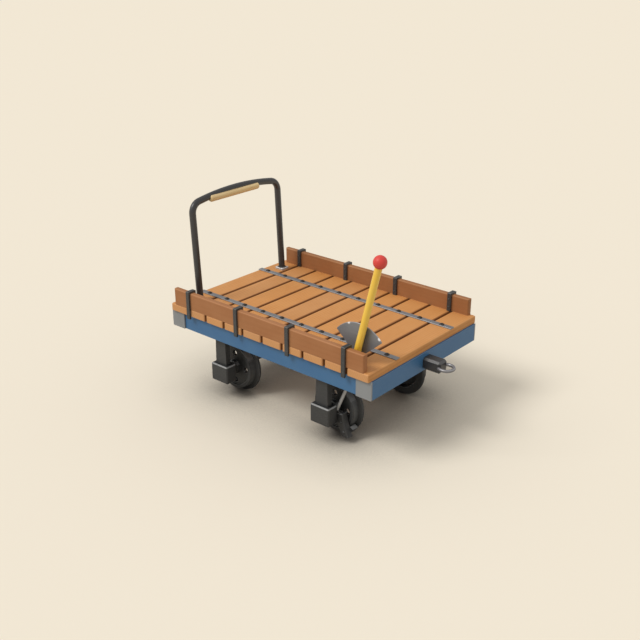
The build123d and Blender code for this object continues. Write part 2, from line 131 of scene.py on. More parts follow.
class Wiring:
    """Adds nodes to one node tree and wires them."""

    def __init__(self, tree: bpy.types.NodeTree) -> None:
        """Keep the tree that the nodes go into."""
        self.tree = tree

    def feed(self, node: Node, inputs: Mapping[Any, Any]) -> None:
        """Feed some of a node's inputs.

        Args:
            node: The node.
            inputs: Socket name or number to a value, or to the socket that feeds it.
        """
        for key, value in inputs.items():
            if isinstance(value, Socket):
                self.tree.links.new(value, node.inputs[key])
            else:
                node.inputs[key].default_value = value

    def add(self, kind: str, inputs: Mapping[Any, Any] | None = None, **settings: Any) -> Node:
        """Add a node.

        Args:
            kind: The node's type name.
            inputs: Socket name or number to a value, or to the socket that feeds it.
            **settings: Properties of the node itself.

        Returns:
            The new node.
        """
        node = self.tree.nodes.new(kind)
        for name, value in settings.items():
            setattr(node, name, value)
        self.feed(node, inputs or {})
        return node

    def math(self, operation: str, a: Any, b: Any = 0.0, c: Any = 0.0) -> Socket:
        """Work out one number from up to three."""
        return self.add("ShaderNodeMath", {0: a, 1: b, 2: c}, operation=operation).outputs[0]

    def plus(self, a: Any, b: Any) -> Socket:
        """Add two numbers."""
        return self.math("ADD", a, b)

    def minus(self, a: Any, b: Any) -> Socket:
        """Take the second number from the first."""
        return self.math("SUBTRACT", a, b)

    def times(self, a: Any, b: Any) -> Socket:
        """Multiply two numbers."""
        return self.math("MULTIPLY", a, b)

    def scaled(self, a: Any, by: Any, plus: Any) -> Socket:
        """Multiply the first number by the second and add the third."""
        return self.math("MULTIPLY_ADD", a, by, plus)

    def larger(self, a: Any, b: Any) -> Socket:
        """The larger of two numbers."""
        return self.math("MAXIMUM", a, b)

    def off(self, a: Any, middle: Any) -> Socket:
        """How far a number lies from a middle, either way."""
        return self.math("ABSOLUTE", self.minus(a, middle))

    def clamp01(self, a: Any) -> Socket:
        """Hold a number between nought and one."""
        return self.add("ShaderNodeMath", {0: a, 1: 0.0}, operation="ADD", use_clamp=True).outputs[0]

    def vector(self, operation: str, a: Any, b: Any) -> Node:
        """Add a Vector Math node."""
        return self.add("ShaderNodeVectorMath", {0: a, 1: b}, operation=operation)

    def apart(self, vector: Any, order: Axis = Axis.X) -> list[Socket]:
        """Take a vector apart, with the coordinate along an axis first."""
        parts = self.add("ShaderNodeSeparateXYZ", {0: vector}).outputs
        return [parts[i] for i in order.value]

    def together(self, x: Any, y: Any, z: Any) -> Socket:
        """Put a vector together from its three coordinates."""
        return self.add("ShaderNodeCombineXYZ", {0: x, 1: y, 2: z}).outputs[0]

    def facing(self, normal: str) -> list[Socket]:
        """The coordinates of one of the surface's normals."""
        return self.apart(self.add("ShaderNodeNewGeometry").outputs[normal])

    def openness(self, reach: float) -> Socket:
        """How open the surface is to its surroundings within a reach."""
        return self.add("ShaderNodeAmbientOcclusion", {"Distance": reach}, samples=AO_SAMPLES).outputs["AO"]

    def ramp(self, value: Any, low: float, high: float, to_low: float = 0.0, to_high: float = 1.0) -> Socket:
        """Map a number smoothly from one range to another and hold it there."""
        return self.add("ShaderNodeMapRange", {0: value, 1: low, 2: high, 3: to_low, 4: to_high},
                        interpolation_type="SMOOTHSTEP", clamp=True).outputs[0]

    def mix(self, factor: Any, a: Any, b: Any) -> Socket:
        """Mix two colours, each a socket or a written colour."""
        a, b = (rgb(colour) if isinstance(colour, str) else colour for colour in (a, b))
        return self.add("ShaderNodeMix", {0: factor, 6: a, 7: b}, data_type="RGBA").outputs[2]

    def noise(self, vector: Any, scale: Any, detail: float, rough: float, twist: float = 0.0) -> Socket:
        """Smooth noise of a scale, detail, roughness and distortion."""
        return self.add("ShaderNodeTexNoise", {"Vector": vector, "Scale": scale, "Detail": detail,
                                               "Roughness": rough, "Distortion": twist}).outputs[0]

    def streaks(self, vector: Any, squeeze: float, *look: float) -> Socket:
        """Noise that is drawn out along X by squeezing its coordinate."""
        return self.noise(self.vector("MULTIPLY", vector, (squeeze, 1.0, 1.0)).outputs[0], *look)


class Surface(Wiring):
    """The wiring of one material, with the place on its surface."""

    def __init__(self, tree: bpy.types.NodeTree) -> None:
        """Add the object coordinates.

        Args:
            tree: The material's node tree.
        """
        super().__init__(tree)
        self.place = self.add("ShaderNodeTexCoord").outputs["Object"]
        self.x, self.y, self.z = self.apart(self.place)

    def coated(self, colour: Any, *coats: tuple[Any, Any, str]) -> Socket:
        """Lay coats over a colour.

        Args:
            colour: The colour beneath.
            *coats: Mask, strength and written colour of each coat, the lowest one first.

        Returns:
            The colour that shows.
        """
        for mask, strength, coat in coats:
            colour = self.mix(self.times(mask, strength), colour, coat)
        return colour

    def bump(self, height: Any, strength: float, distance: float) -> Socket:
        """The normal that a height gives."""
        return self.add("ShaderNodeBump", {"Height": height, "Strength": strength,
                                           "Distance": distance}).outputs[0]


# ------ Fastenings ------
class Head(Enum):
    """The kinds of head that a fastening can have."""

    DOME = "dome"
    HEX = "hex"
    SLOT = "slot"


@dataclass(frozen=True)
class Fastener:
    """One kind of fastening, modelled once with its seat at the origin and its head along +Z."""

    name: str
    head: Head
    radius: float  # Over its corners for a hexagon
    height: float  # Above its seat
    slot: str  # The record's material slot of its finish
    seed: int  # For the turns of its heads
    body: str = "frame"
    sides: int = 16  # Of a round head
    washer_sides: int = 20
    sunk: float = 0.0006  # How far it reaches below its seat

    def pattern(self) -> bpy.types.Object:
        """Model the head.

        Returns:
            An unlinked object that the placing tree copies.
        """
        bm = bmesh.new()
        if self.head is Head.HEX:
            self._hexagon(bm)
        else:
            self._round(bm)
        if self.head is Head.SLOT:
            self._groove(bm)
        mesh = as_mesh(bm, self.name + "-pattern")
        for face in mesh.polygons:
            face.use_smooth = self.head is Head.DOME and face.normal.z > -0.5
        return bpy.data.objects.new(mesh.name, mesh)

    def _turn(self, bm: bmesh.types.BMesh, profile: Sequence[tuple[float, float]], sides: int) -> None:
        """Turn a profile into a closed shape.

        Args:
            bm: Where the faces go.
            profile: Radius and height of each ring, from the bottom up.
            sides: Number of sides.
        """
        rings = [[bm.verts.new((radius * math.cos(math.tau * i / sides),
                                radius * math.sin(math.tau * i / sides), height))
                  for i in range(sides)] for radius, height in profile]
        for low, high in zip(rings, rings[1:]):
            for i in range(sides):
                j = (i + 1) % sides
                bm.faces.new((low[i], low[j], high[j], high[i]))
        bm.faces.new(rings[-1])
        bm.faces.new(list(reversed(rings[0])))

    def _round(self, bm: bmesh.types.BMesh) -> None:
        """Model a round head: a full dome, or a low one with a wide flat middle.

        Args:
            bm: Where the faces go.
        """
        steps, flat = (5, 0.12) if self.head is Head.DOME else (3, 0.72)
        rim = 0.12
        profile = [(self.radius, -self.sunk), (self.radius, self.height * rim)]
        for i in range(1, steps + 1):
            turn = math.pi / 2 * i / steps
            profile.append((self.radius * (flat + (1 - flat) * math.cos(turn)),
                            self.height * (rim + (1 - rim) * math.sin(turn))))
        self._turn(bm, profile, self.sides)

    def _hexagon(self, bm: bmesh.types.BMesh) -> None:
        """Model a hexagon head with its top corners turned off, on a round washer.

        Args:
            bm: Where the faces go.
        """
        washer, thin, corner = self.radius * 1.30, self.height * 0.22, 0.86
        self._turn(bm, ((washer, -self.sunk), (washer, thin * 0.8), (washer * 0.97, thin)), self.washer_sides)
        self._turn(bm, ((self.radius, thin), (self.radius, self.height * corner),
                        (self.radius * corner, self.height)), 6)

    def _groove(self, bm: bmesh.types.BMesh) -> None:
        """Sink the driver's slot by pushing down the top of the head along a narrow strip.

        Args:
            bm: The faces of the head.
        """
        half, deep = self.radius * 0.11, self.height * 0.35
        top = [f for f in bm.faces if f.normal.z > 0.9 or all(v.co.z > self.height * 0.98 for v in f.verts)]
        geometry = list({v for f in top for v in f.verts}) + list({e for f in top for e in f.edges}) + top
        for offset in (-half, half):
            cut = bmesh.ops.bisect_plane(bm, geom=geometry, plane_co=(0, offset, 0), plane_no=(0, 1, 0))
            geometry = cut["geom"]
        strip = [f for f in bm.faces if abs(f.calc_center_median().y) < half * 0.5
                 and f.calc_center_median().z > self.height * 0.9]
        pushed = bmesh.ops.extrude_face_region(bm, geom=strip)
        bmesh.ops.delete(bm, geom=strip, context="FACES_KEEP_BOUNDARY")
        for item in pushed["geom"]:
            if isinstance(item, bmesh.types.BMVert):
                item.co.z -= deep


Fixings = Sequence[tuple[Fastener, Spots]]


class Placing:
    """A Geometry Nodes tree that puts a copy of a head on each vertex, along its outward direction."""

    inputs: ClassVar[dict[str, str]] = {"Head": "Object", "Turn": "Float", "Seed": "Int", "Finish": "Material"}

    def __init__(self) -> None:
        """Build the tree once."""
        self.tree = bpy.data.node_groups.new("placing", "GeometryNodeTree")
        face = self.tree.interface
        face.new_socket("Geometry", in_out="INPUT", socket_type="NodeSocketGeometry")
        self.keys = {name: face.new_socket(name, in_out="INPUT", socket_type="NodeSocket" + kind).identifier
                     for name, kind in self.inputs.items()}
        face.new_socket("Geometry", in_out="OUTPUT", socket_type="NodeSocketGeometry")
        w = Wiring(self.tree)
        given = w.add("NodeGroupInput").outputs
        out = w.add("GeometryNodeInputNamedAttribute", {"Name": "out"}, data_type="FLOAT_VECTOR")
        aim = w.add("FunctionNodeAlignRotationToVector", {"Vector": out.outputs["Attribute"]}, axis="Z")
        chance = w.add("FunctionNodeRandomValue", {2: 0.0, 3: given["Turn"], 8: given["Seed"]},
                       data_type="FLOAT").outputs[1]
        spin = w.add("FunctionNodeAxisAngleToRotation", {"Axis": (0.0, 0.0, 1.0), "Angle": chance})
        both = w.add("FunctionNodeRotateRotation", {0: aim.outputs[0], 1: spin.outputs[0]},
                     rotation_space="LOCAL")
        head = w.add("GeometryNodeObjectInfo", {"Object": given["Head"]})
        copies = w.add("GeometryNodeInstanceOnPoints", {"Points": given["Geometry"],
                                                        "Instance": head.outputs["Geometry"],
                                                        "Rotation": both.outputs[0]})
        real = w.add("GeometryNodeRealizeInstances", {"Geometry": copies.outputs[0]})
        done = w.add("GeometryNodeSetMaterial", {"Geometry": real.outputs[0], "Material": given["Finish"]})
        w.add("NodeGroupOutput", {0: done.outputs[0]})

    def place(self, kind: Fastener, spots: Spots, palette: Palette) -> None:
        """Make one mesh of all the fastenings of a kind, riding on its body.

        Args:
            kind: The fastening.
            spots: Seat and outward direction of each copy.
            palette: The finishes.
        """
        points = bpy.data.meshes.new(kind.name + "-points")
        points.from_pydata([at for at, _ in spots], [], [])
        outward = points.attributes.new("out", "FLOAT_VECTOR", "POINT")
        outward.data.foreach_set("vector", [c for _, way in spots for c in way])
        carrier = link(points.name, points)
        pattern = kind.pattern()
        modifier = carrier.modifiers.new("placing", "NODES")
        modifier.node_group = self.tree
        values = {"Head": pattern, "Turn": 0.0 if kind.head is Head.DOME else math.tau, "Seed": kind.seed,
                  "Finish": palette[kind.slot]}
        for name, value in values.items():
            modifier[self.keys[name]] = value
        bpy.context.view_layer.update()
        graph = bpy.context.evaluated_depsgraph_get()
        mesh = bpy.data.meshes.new_from_object(carrier.evaluated_get(graph))
        mesh.name = kind.name
        for spare in (carrier, pattern):
            bpy.data.objects.remove(spare)
        ready(link(kind.name, mesh), kind.slot, kind.body)


@dataclass(frozen=True)
class WeldBead:
    """A weld round the foot of a leg of the push handle."""

    name: str
    at: Point  # Where the leg meets its plate
    radius: float  # Radius of the leg
    size: float = 0.0055  # Height of its triangular section
    around: int = 96  # Sections round the leg
    ripples: int = 19  # Ripples that a hand weld leaves
    slot: str = "handle_black"

    def section(self, swell: float) -> tuple[tuple[float, float], ...]:
        """Distance from the leg and height of each corner of one section, which starts inside the tube."""
        tall = self.size * swell
        return ((-0.0008, 0.0), (tall, 0.0), (tall * 0.62, tall * 0.55), (0.0, tall), (-0.0008, tall * 0.8))

    def build(self, palette: Palette) -> None:
        """Make the bead, riding on the frame.

        Args:
            palette: The finishes.
        """
        bm = bmesh.new()
        rings = []
        for i in range(self.around):
            turn = math.tau * i / self.around
            ripple, waver = 0.16 * math.sin(turn * self.ripples), 0.06 * math.sin(turn * 5 + 1.3)
            rings.append([bm.verts.new((self.at[0] + (self.radius + out) * math.cos(turn),
                                        self.at[1] + (self.radius + out) * math.sin(turn), self.at[2] + up))
                          for out, up in self.section(1.0 + ripple + waver)])
        for i, ring in enumerate(rings):
            after = rings[(i + 1) % self.around]
            for j in range(len(ring)):
                k = (j + 1) % len(ring)
                bm.faces.new((ring[j], after[j], after[k], ring[k]))
        mesh = as_mesh(bm, self.name)
        for face in mesh.polygons:
            face.use_smooth = True
        mesh.materials.append(palette[self.slot])
        ready(link(self.name, mesh), self.slot, "frame")


# ------ Sub-assemblies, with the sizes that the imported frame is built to, in metres ------
class SubAssembly:
    """A part of the car that is dressed and fastened as one."""

    nodes: ClassVar[tuple[str, ...]]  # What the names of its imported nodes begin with

    def dress(self, frame: Mapping[str, Any], palette: Palette) -> None:
        """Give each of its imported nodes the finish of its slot.

        Args:
            frame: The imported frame.
            palette: The finishes.
        """
        slots = {s["node"]: s["material_slot"] for s in frame["record"]["subparts"]}
        own = [name for name in sorted(frame["nodes"]) if name.startswith(self.nodes)]
        for name in own:
            for place in frame["nodes"][name].material_slots:
                place.material = palette[slots[name]]
        LOG.info("%s: %d nodes dressed", type(self).__name__, len(own))

    def fastenings(self) -> Fixings:
        """Each kind of fastening, with the seat and outward direction of every copy."""
        return ()

    def beads(self) -> Sequence[WeldBead]:
        """Each weld bead."""
        return ()

    def fasten(self, placing: Placing, palette: Palette) -> None:
        """Make its fastenings with the placing tree."""
        for kind, spots in self.fastenings():
            placing.place(kind, spots, palette)

    def weld(self, palette: Palette) -> None:
        """Make its weld beads."""
        for bead in self.beads():
            bead.build(palette)


@dataclass(frozen=True)
class Deck(SubAssembly):
    """The planks, and the two steel straps that hold them."""

    nodes = ("plank", "deck_strap", "strap_rivets")
    middle: float = -0.0875  # Along X
    top: float = 0.529  # Height of its upper face
    length: float = 1.4695
    half_width: float = 0.500
    pitch: float = 0.14785  # Distance from one plank to the next
    plank: float = 0.13885  # Width of a plank
    count: int = 10
    strap_y: float = 0.255  # Distance of a strap from the middle

    def plank_middles(self) -> list[float]:
        """Where the middle of each plank is along X."""
        first = self.middle - self.length / 2 + self.plank / 2
        return [first + i * self.pitch for i in range(self.count)]


@dataclass(frozen=True)
class SideBoards(SubAssembly):
    """The low board along each side, and the U-shaped irons that hold it."""

    nodes = ("side_board", "stanchions")
    deck: Deck
    board: float = 0.035  # Thickness of a board
    iron: float = 0.011  # Thickness of a stanchion
    stations: tuple[float, ...] = (-0.578, -0.192, 0.192, 0.578)  # Stanchions along X from mid deck
    rises: tuple[float, ...] = (-0.030, 0.026, 0.074)  # Heights of their rivets above the deck

    def fastenings(self) -> Fixings:
        """Rivet heads on the inner leg of every stanchion, whose outer ends are filed flush.

        Returns:
            The kind, with its spots.
        """
        inner = self.deck.half_width - self.board - self.iron
        spots = [((self.deck.middle + station, s * inner, self.deck.top + rise), (0, -s, 0))
                 for s in SIDES.values() for station in self.stations for rise in self.rises[1:]]
        return ((Fastener("stanchion-rivets", Head.DOME, 0.0058, 0.0032, "dark_iron", 11), spots),)

    def flush_rivets(self) -> tuple[tuple[float, float], ...]:
        """Distance from the deck's middle and height of each rivet that is filed flush, for one half."""
        half = self.stations[len(self.stations) // 2:]
        return tuple((station, self.deck.top + rise) for station in half for rise in self.rises)


@dataclass(frozen=True)
class PushHandle(SubAssembly):
    """The hoop at the rear, with its grip and its two foot plates."""

    nodes = ("push_handle", "handle")
    deck: Deck
    x: float = -0.72675  # Where its legs are along X
    y: float = 0.357  # Distance of each leg from the middle
    tube: float = 0.020  # Radius of the tube
    foot: float = 0.013  # Thickness of a foot plate
    screw: float = 0.022  # Distance of each screw from the leg, along X and along Y

    def fastenings(self) -> Fixings:
        """Four screws in each foot plate."""
        spots = [((self.x + i * self.screw, s * self.y + j * self.screw, self.deck.top + self.foot), (0, 0, 1))
                 for s in SIDES.values() for i in PAIR for j in PAIR]
        return ((Fastener("foot-screws", Head.SLOT, 0.0040, 0.0018, "foot_steel", 12), spots),)

    def beads(self) -> Sequence[WeldBead]:
        """A weld round each leg."""
        top = self.deck.top + self.foot
        return [WeldBead(f"handle-weld-{side}", (self.x, s * self.y, top), self.tube)
                for side, s in SIDES.items()]


@dataclass(frozen=True)
class Underframe(SubAssembly):
    """The sills, headstocks, end caps, bearers and drawbar."""

    nodes = ("sill", "headstock", "beam_caps", "bearer", "drawbar")
    deck: Deck
    sill_bottom: float = 0.381  # Height of the sills' lower faces
    sill_top: float = 0.486  # Height of the sills' upper faces
    sill_inner: float = 0.433  # Distance of a sill's inner face from the middle
    end: float = 0.74475  # Distance of a headstock's outer face from the deck's middle
    depth: float = 0.100  # Thickness of a headstock
    bearer: float = 0.080  # Height of a bearer
    clear: float = 0.02  # How far a nut keeps from a headstock

    def fastenings(self) -> Fixings:
        """Nuts under the bearers, one below each rivet of the straps.

        Returns:
            The kind, with its spots.
        """
        reach = self.end - self.depth - self.clear
        under = [x for x in self.deck.plank_middles() if abs(x - self.deck.middle) < reach]
        spots = [((x, s * self.deck.strap_y, self.sill_top - self.bearer), (0, 0, -1))
                 for x in under for s in SIDES.values()]
        return ((Fastener("bearer-nuts", Head.HEX, 0.0100, 0.0080, "rivet_iron", 14), spots),)


@dataclass(frozen=True)
class RunningGear(SubAssembly):
    """The wheels, axles, boxes and axle guards."""

    nodes = ("wheel", "axle")
    underframe: Underframe
    wheelbase: float = 0.770  # Distance between the axles
    axle_z: float = 0.163  # Height of the axles
    tread: float = 0.137  # Radius of a wheel's running surface
    flange_y: float = 0.302  # Where the running surface starts, from the middle
    face_y: float = 0.346  # Where a wheel's outer face is, from the middle
    tongue: float = 0.020  # Thickness of a guard's tongue on the inside of the sill
    bolt_run: float = 0.022  # Distance of each bolt along X from its axle
    bolt_rises: tuple[float, ...] = (0.026, 0.062)  # Height of each bolt above the bottom of the sill

    def axles(self) -> list[float]:
        """Where the two axles are along X, the front one first."""
        return [self.underframe.deck.middle + e * self.wheelbase / 2 for e in ENDS]

    def fastenings(self) -> Fixings:
        """Bolt heads on the inside of each axle guard.

        Returns:
            The kind, with its spots.
        """
        face = self.underframe.sill_inner - self.tongue
        spots = [((x + i * self.bolt_run, s * face, self.underframe.sill_bottom + rise), (0, -s, 0))
                 for x in self.axles() for s in SIDES.values() for i in PAIR for rise in self.bolt_rises]
        return ((Fastener("guard-bolts", Head.HEX, 0.0090, 0.0070, "running_gear_iron", 13), spots),)


@dataclass(frozen=True)
class Brake(SubAssembly):
    """The hand brake on the right: quadrant, lever, ball, arm and shoe."""

    nodes = ("brake",)
    gear: RunningGear
    pivot_x: float = 0.5075  # Where the lever turns, along X
    pivot_z: float = 0.551  # Height at which the lever turns
    hub_y: float = 0.450  # Distance of the lever hub's outer face from the middle
    quadrant_y: float = 0.397  # Distance of the quadrant's inner face from the middle
    quadrant_r: float = 0.190  # Radius of the quadrant
    plate: float = 0.007  # Thickness of its foot
    bolt_back: float = 0.060  # How far behind the pivot the quadrant's bolts are
    bolt_insets: tuple[float, ...] = (0.011, 0.033)  # How far each bolt lies inside the quadrant
    shoe_y: float = 0.3915  # Distance of the shoe's outer face from the middle
    shoe_rivets: tuple[tuple[float, float], ...] = ((0.088, -0.046), (0.108, -0.098))  # From the axle
    painted_glint_angles: tuple[float, ...] = (-20.0, 43.0)  # Degrees from upright of the rim's painted glints

    def fastenings(self) -> Fixings:
        """Bolts through the quadrant's foot, the nut on the lever's shaft, and rivets in the shoe's cheek.

        Returns:
            Each kind, with its spots.
        """
        foot = self.gear.underframe.deck.top + self.plate
        wheel = self.gear.axles()[0]
        bolts = [((self.pivot_x - self.bolt_back, -(self.quadrant_y - inset), foot), (0, 0, 1))
                 for inset in self.bolt_insets]
        nut = [((self.pivot_x, -self.hub_y, self.pivot_z), (0, -1, 0))]
        rivets = [((wheel + run, -self.shoe_y, self.gear.axle_z + rise), (0, -1, 0))
                  for run, rise in self.shoe_rivets]
        return (
            (Fastener("quadrant-bolts", Head.HEX, 0.0068, 0.0055, "quadrant_steel", 15), bolts),
            (Fastener("lever-nut", Head.HEX, 0.0110, 0.0065, "arm_steel", 16, "brake_gear"), nut),
            (Fastener("shoe-rivets", Head.DOME, 0.0065, 0.0035, "running_gear_iron", 17, "brake_gear"), rivets),
        )

    def painted_glint_spots(self) -> tuple[tuple[float, float], ...]:
        """X and Z of the places on the quadrant's rim that get a painted glint."""
        radius, turns = self.quadrant_r, map(math.radians, self.painted_glint_angles)
        return tuple((self.pivot_x + radius * math.sin(t), self.pivot_z + radius * math.cos(t)) for t in turns)


# ------ Effects that several finishes share ------
class Effect(Wiring):
    """A node group that is built once and placed in each material with its own values."""

    name: ClassVar[str]
    inputs: ClassVar[dict[str, float | None]]  # Plain value of each input, or None for a vector
    outputs: ClassVar[tuple[str, ...]]  # All of them numbers
    group: ClassVar[bpy.types.NodeTree | None] = None  # Once it is built

    def __init__(self) -> None:
        """Make the group's sockets, and the nodes between them."""
        super().__init__(bpy.data.node_groups.new(self.name, "ShaderNodeTree"))
        for name, value in self.inputs.items():
            kind = "NodeSocketVector" if value is None else "NodeSocketFloat"
            socket = self.tree.interface.new_socket(name, in_out="INPUT", socket_type=kind)
            if value is not None:
                socket.default_value = value
        for name in self.outputs:
            self.tree.interface.new_socket(name, in_out="OUTPUT", socket_type="NodeSocketFloat")
        self.given = self.add("NodeGroupInput").outputs
        self.add("NodeGroupOutput", dict(zip(self.outputs, self.masks())))

    def masks(self) -> tuple[Socket, ...]:
        """Make the nodes that feed the outputs."""
        raise NotImplementedError

    @classmethod
    def place(cls, w: Surface, **inputs: Any) -> Mapping[str, Socket]:
        """Put the effect into a material.

        Args:
            w: The material's surface, whose place feeds Vector if nothing else does.
            **inputs: A value for each named input, or the socket that feeds it.

        Returns:
            Its outputs, by name.
        """
        if cls.group is None:
            cls.group = cls().tree
        if "Vector" in cls.inputs:
            inputs.setdefault("Vector", w.place)
        return w.add("ShaderNodeGroup", inputs, node_tree=cls.group).outputs


class EdgeWear(Effect):
    """Masks along outer edges, broken up by noise: of all of them, as wear, and of those that face up, as a
    painted highlight.
    """

    name = "edge wear"
    inputs = {"Vector": None, "Width": 0.003, "Amount": 1.0}
    outputs = ("Mask", "Top")

    def masks(self) -> tuple[Socket, ...]:
        """Compare the rounded normal with the true one, and find the shoulders of round pieces, for the painted
        highlight.

        Returns:
            What feeds each output.
        """
        rounded = self.add("ShaderNodeBevel", {"Radius": self.given["Width"]}, samples=BEVEL_SAMPLES).outputs[0]
        true = self.add("ShaderNodeNewGeometry").outputs
        agree = self.vector("DOT_PRODUCT", rounded, true["Normal"]).outputs["Value"]
        edge = self.ramp(self.minus(1.0, agree), 0.03, 0.22)
        breakup = self.noise(self.given["Vector"], 34.0, 5.0, 0.65)
        mask = self.times(self.times(edge, self.ramp(breakup, 0.36, 0.62)), self.given["Amount"])
        height = self.apart(true["True Normal"])[2]
        # Painted highlight: the shoulders of round pieces and the edges whose rounded normal faces up.
        shoulder = self.times(self.ramp(height, 0.42, 0.58), self.ramp(height, 0.80, 0.94, 1.0, 0.0))
        top = self.larger(self.times(edge, self.ramp(self.apart(rounded)[2], 0.12, 0.45)), shoulder)
        return self.clamp01(mask), self.times(top, self.ramp(breakup, 0.25, 0.55, 0.45, 1.0))


class Grain(Effect):
    """Wood grain that runs along X of the vector it is given."""

    name = "wood grain"
    inputs = {"Vector": None, "Seed": 0.0, "Rings": 420.0}
    outputs = ("Figure", "Fibre", "Height")

    def masks(self) -> tuple[Socket, ...]:
        """Bend the rings with slow noise, and add fibres and pores.

        Returns:
            What feeds each output.
        """
        seeded = self.together(*(self.times(self.given["Seed"], apart) for apart in (3.71, 1.37, 2.19)))
        place = self.vector("ADD", self.given["Vector"], seeded).outputs[0]
        bent = self.plus(self.apart(place)[1], self.times(self.streaks(place, 0.09, 5.0, 2.0, 0.5, 0.4), 0.075))
        rings = self.math("SINE", self.times(bent, self.given["Rings"]))
        figure = self.clamp01(self.scaled(rings, 0.5, 0.5))
        fibre = self.streaks(place, 0.035, 190.0, 3.0, 0.6)
        pores = self.ramp(self.streaks(place, 0.06, 420.0, 2.0, 0.5), 0.60, 0.72)
        height = self.minus(self.scaled(figure, 0.35, self.times(fibre, 0.5)), self.times(pores, 0.4))
        return figure, fibre, height


class Weather(Effect):
    """Slow mottling, a fine speckle and the dust that lies on what faces up."""

    name = "weather"
    inputs = {"Vector": None, "Speckle": 260.0}
    outputs = ("Cloud", "Speck", "Dust")

    def masks(self) -> tuple[Socket, ...]:
        """Make slow and fine noise, and let the dust follow the slow one.

        Returns:
            What feeds each output.
        """
        cloud = self.ramp(self.noise(self.given["Vector"], 6.0, 4.0, 0.55, 0.3), 0.32, 0.70)
        dust = self.times(self.ramp(self.facing("Normal")[2], 0.25, 0.95), self.ramp(cloud, 0.15, 0.9))
        return cloud, self.noise(self.given["Vector"], self.given["Speckle"], 2.0, 0.5), dust


class Brushing(Effect):
    """Fine scratches that run along X of the vector it is given."""

    name = "brushing"
    inputs = {"Vector": None}
    outputs = ("Scratches",)

    def masks(self) -> tuple[Socket, ...]:
        """Lay fine streaks over coarse ones."""
        coarse = self.times(self.streaks(self.given["Vector"], 0.05, 120.0, 3.0, 0.6), 0.4)
        return (self.scaled(self.streaks(self.given["Vector"], 0.02, 620.0, 2.0, 0.6), 0.6, coarse),)


class FlushRivet(Effect):
    """Masks of one rivet that is filed flush: its head, and the fine seam round it."""

    name = "flush rivet"
    inputs = {"Place": None, "Middle": None, "Radius": 0.0055}
    outputs = ("Head", "Seam")

    def masks(self) -> tuple[Socket, ...]:
        """Measure how far the surface is from the rivet's middle.

        Returns:
            What feeds each output.
        """
        away = self.vector("DISTANCE", self.given["Place"], self.given["Middle"]).outputs["Value"]
        seam = self.ramp(self.off(away, self.given["Radius"]), 0.0003, 0.0012, 1.0, 0.0)
        return self.math("LESS_THAN", away, self.given["Radius"]), seam


# ------ Finishes ------
@dataclass(frozen=True)
class Finish:
    """What every finish has."""

    name: str
    colour: str  # Colour of its plain surface
    roughness: float

    def looks(self, w: Surface) -> dict[str, Any]:
        """Say what feeds each of the shader's inputs."""
        raise NotImplementedError

    def build(self) -> bpy.types.Material:
        """Make the material.

        Returns:
            The material, with its own shader fed as its looks say.
        """
        material = bpy.data.materials.new(self.name)
        material.use_nodes = True
        w = Surface(material.node_tree)
        w.feed(w.tree.nodes["Principled BSDF"], self.looks(w))
        return material


@dataclass(frozen=True)
class Wood(Finish):
    """Planed softwood with a grain, worn lighter along its edges, with a painted highlight on its edges that
    face up and painted shade that can darken what lies left of the middle.
    """

    dark: str  # Colour of the late rings
    pale: str  # Colour of the worn edges and the pale mottling, and of the painted highlight on the edges that face up
    along: Axis  # The way that the grain runs
    rings: float = 420.0  # Closeness of the rings
    depth: float = 0.30  # How strongly the rings and fibres show
    left_painted_shade: float = 1.0  # Painted shade: brightness of what lies left of the middle, against what lies right of it

    def seed(self, w: Surface) -> Socket:
        """A number that gives each side's board a grain of its own."""
        return w.math("FLOOR", w.times(w.y, 2.0))

    def soiled_and_shaded(self, w: Surface, colour: Socket) -> Socket:
        """The colour with dirt and painted shade on it, which single boards don't have."""
        return colour

    def looks(self, w: Surface) -> dict[str, Any]:
        """Say what feeds the shader.

        Args:
            w: The material's surface.

        Returns:
            Value or socket for each input.
        """
        first, second, third = w.apart(w.place, self.along)
        run = w.together(first, w.plus(second, w.times(third, 0.7)), third)
        seed = self.seed(w)
        grain = Grain.place(w, Vector=run, Seed=seed, Rings=self.rings)
        wear = EdgeWear.place(w, Width=0.006, Amount=0.75)
        cloud = Weather.place(w, Speckle=90.0)["Cloud"]
        tint = w.add("ShaderNodeTexWhiteNoise", {"W": seed}, noise_dimensions="1D").outputs["Value"]
        late = w.math("POWER", grain["Figure"], 2.2)
        fibres = w.ramp(grain["Fibre"], 0.45, 0.85)
        colour = w.coated(self.colour, (late, self.depth * 1.2, self.dark), (fibres, self.depth, self.dark),
                          (cloud, 0.18, self.pale))
        # Random tint for each board, times painted shade on what lies left of the middle.
        tint_and_shade = w.times(w.scaled(tint, 0.08, 0.96), w.ramp(w.y, -0.1, 0.1, 1.0, self.left_painted_shade))
        colour = w.add("ShaderNodeHueSaturation", {"Saturation": w.scaled(tint, 0.04, 1.0), "Value": tint_and_shade,
                                                   "Color": colour}).outputs[0]
        # Worn edges are paler, and the edges that face up get a painted highlight.
        colour = w.coated(colour, (wear["Mask"], 0.45, self.pale), (wear["Top"], 0.35, self.pale))
        return {"Base Color": self.soiled_and_shaded(w, colour), "Specular IOR Level": 0.35,
                "Roughness": w.scaled(grain["Fibre"], 0.22, self.roughness - 0.10),
                "Normal": w.bump(grain["Height"], self.depth, 0.0012)}


